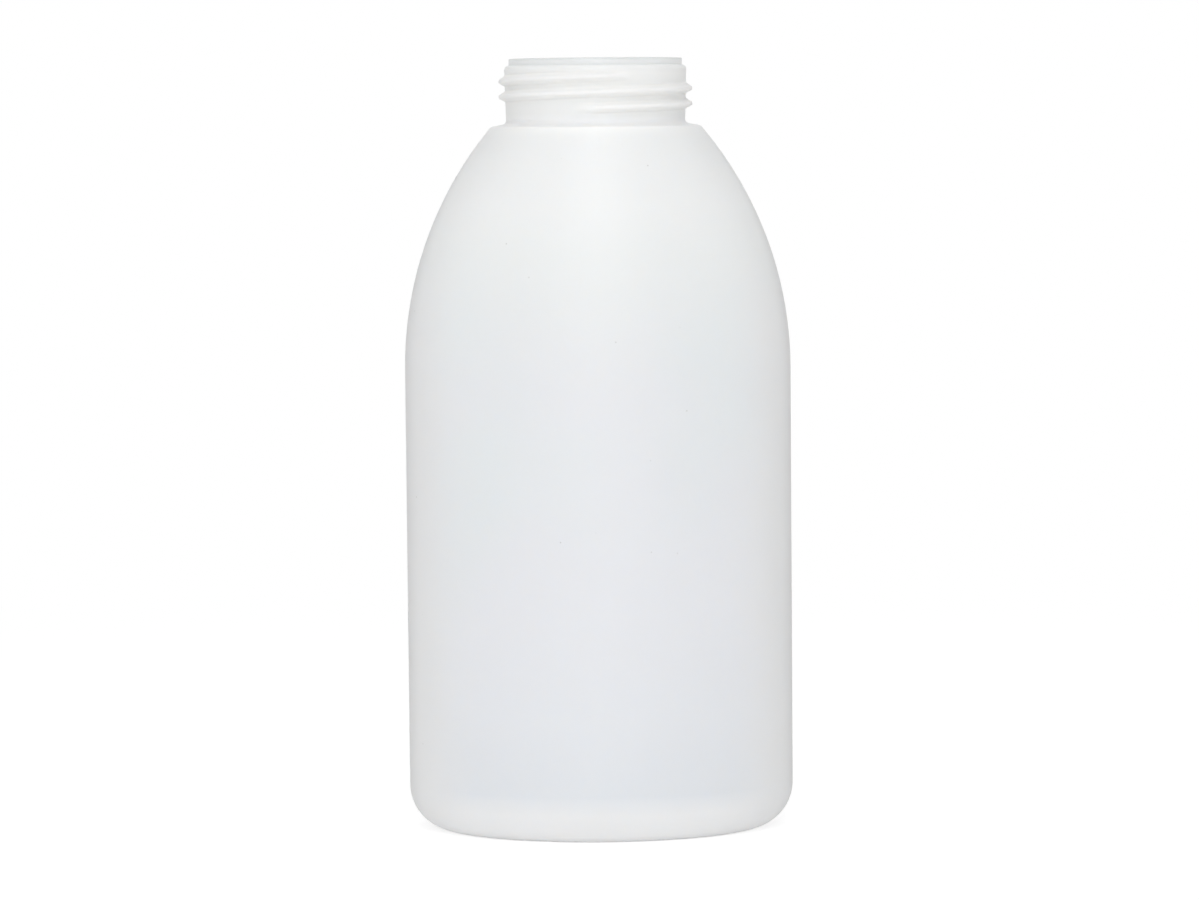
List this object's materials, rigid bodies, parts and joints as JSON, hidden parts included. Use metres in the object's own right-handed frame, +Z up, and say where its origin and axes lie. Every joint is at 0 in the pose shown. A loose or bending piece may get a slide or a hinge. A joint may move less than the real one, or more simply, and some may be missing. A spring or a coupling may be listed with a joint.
{
  "type": "foamer bottle",
  "caption": "Bare oval blow-moulded bottle of natural polyethylene with a wide threaded neck that takes a foaming pump.",
  "frame": {"origin": "centre of the base, on the surface the bottle stands on", "axes": "+Z up along the neck's axis; X along the body's width; Y along its depth, with the pictured front facing -Y"},
  "size_m": [0.08, 0.052, 0.16],
  "materials": {
    "natural_hdpe": "natural, uncoloured high-density polyethylene, milky and translucent, blow-moulded with a satin skin"
  },
  "bodies": {
    "root": {"bottle": "natural_hdpe"}
  },
  "joints": []
}
